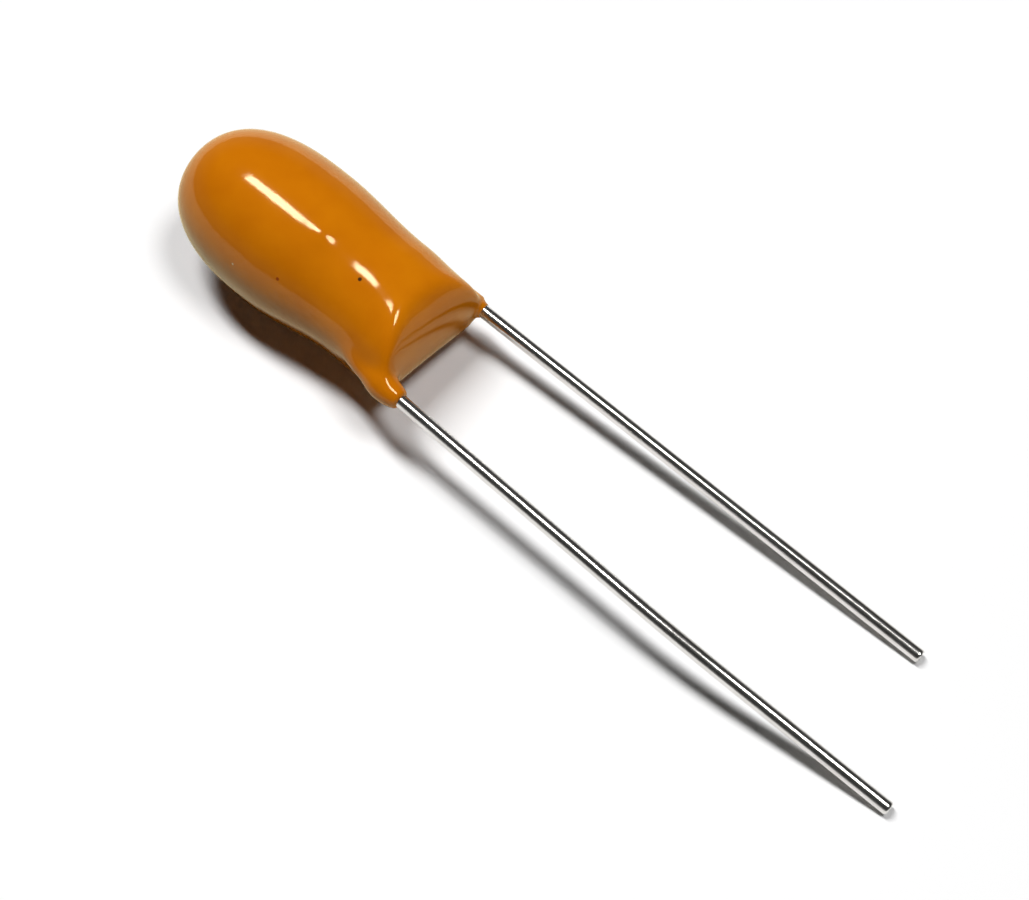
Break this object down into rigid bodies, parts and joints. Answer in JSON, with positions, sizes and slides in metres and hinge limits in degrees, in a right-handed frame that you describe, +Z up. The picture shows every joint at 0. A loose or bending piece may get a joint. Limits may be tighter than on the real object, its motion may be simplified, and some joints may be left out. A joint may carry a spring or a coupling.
{
  "type": "tantalum capacitor",
  "caption": "Dipped radial tantalum capacitor lying on its side: a drop-shaped orange resin body with a flattened neck, and long tinned wire leads for soldering through a board.",
  "frame": {"origin": "centre of the part's box, on the surface that it lies on", "axes": "+X along the body, from its dome to the ends of the leads; +Y to the side of the cathode lead, the shorter one; +Z up, away from the surface"},
  "size_m": [0.0334, 0.0062, 0.0058],
  "materials": {
    "orange_resin": "glossy dipped epoxy",
    "tinned_wire": "bright tinned, drawn",
    "sintered_tantalum": "sintered, dull",
    "tantalum_wire": "drawn",
    "white_insulator": "waxy",
    "manganese_dioxide": "dull crust",
    "graphite": "soft sheen",
    "silver_paint": "painted, dull",
    "solder": "satin",
    "weld_metal": "slightly scorched"
  },
  "bodies": {
    "root": {"anode_slug": "sintered_tantalum", "riser_wire": "tantalum_wire", "insulating_washer": "white_insulator", "manganese_dioxide_layer": "manganese_dioxide", "graphite_layer": "graphite", "silver_layer": "silver_paint", "solder_joint": "solder", "weld_nugget": "weld_metal", "cathode_lead": "tinned_wire", "anode_lead": "tinned_wire", "epoxy_coating": "orange_resin"}
  },
  "joints": []
}
